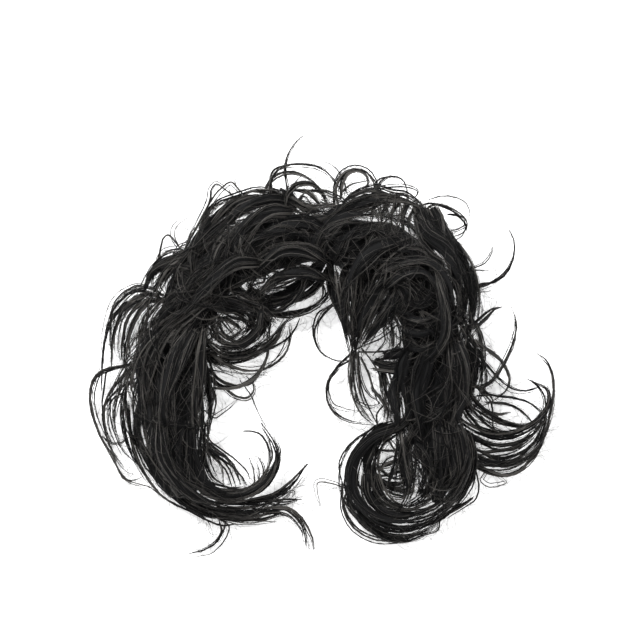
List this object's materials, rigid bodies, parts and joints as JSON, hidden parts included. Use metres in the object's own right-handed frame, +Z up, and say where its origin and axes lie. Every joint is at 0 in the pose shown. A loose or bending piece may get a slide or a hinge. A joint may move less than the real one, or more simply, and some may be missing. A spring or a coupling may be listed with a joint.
{
  "type": "top knot hairpiece",
  "caption": "Curly near-black hair wrap for a top knot or messy bun, laid open as a horseshoe, with loose curls and wisps bound along a hidden elastic core cord",
  "frame": {"origin": "centre of the part's box at the level it rests on", "axes": "+X across the horseshoe from the left arm to the right arm, +Y towards the crown, away from the open mouth, +Z up from the table"},
  "size_m": [0.2796, 0.2484, 0.0448],
  "materials": {
    "hair": "fine synthetic hair fibre, off-black, soft satin gloss along the strands",
    "cord": "dull black braided elastic cord"
  },
  "bodies": {
    "root": {"bunch_left_end": "hair", "bunch_left_side": "hair", "bunch_left_shoulder": "hair", "bunch_crown_left": "hair", "bunch_crown_right": "hair", "bunch_right_shoulder": "hair", "bunch_right_side": "hair", "bunch_right_end": "hair", "core_cord": "cord"}
  },
  "joints": []
}
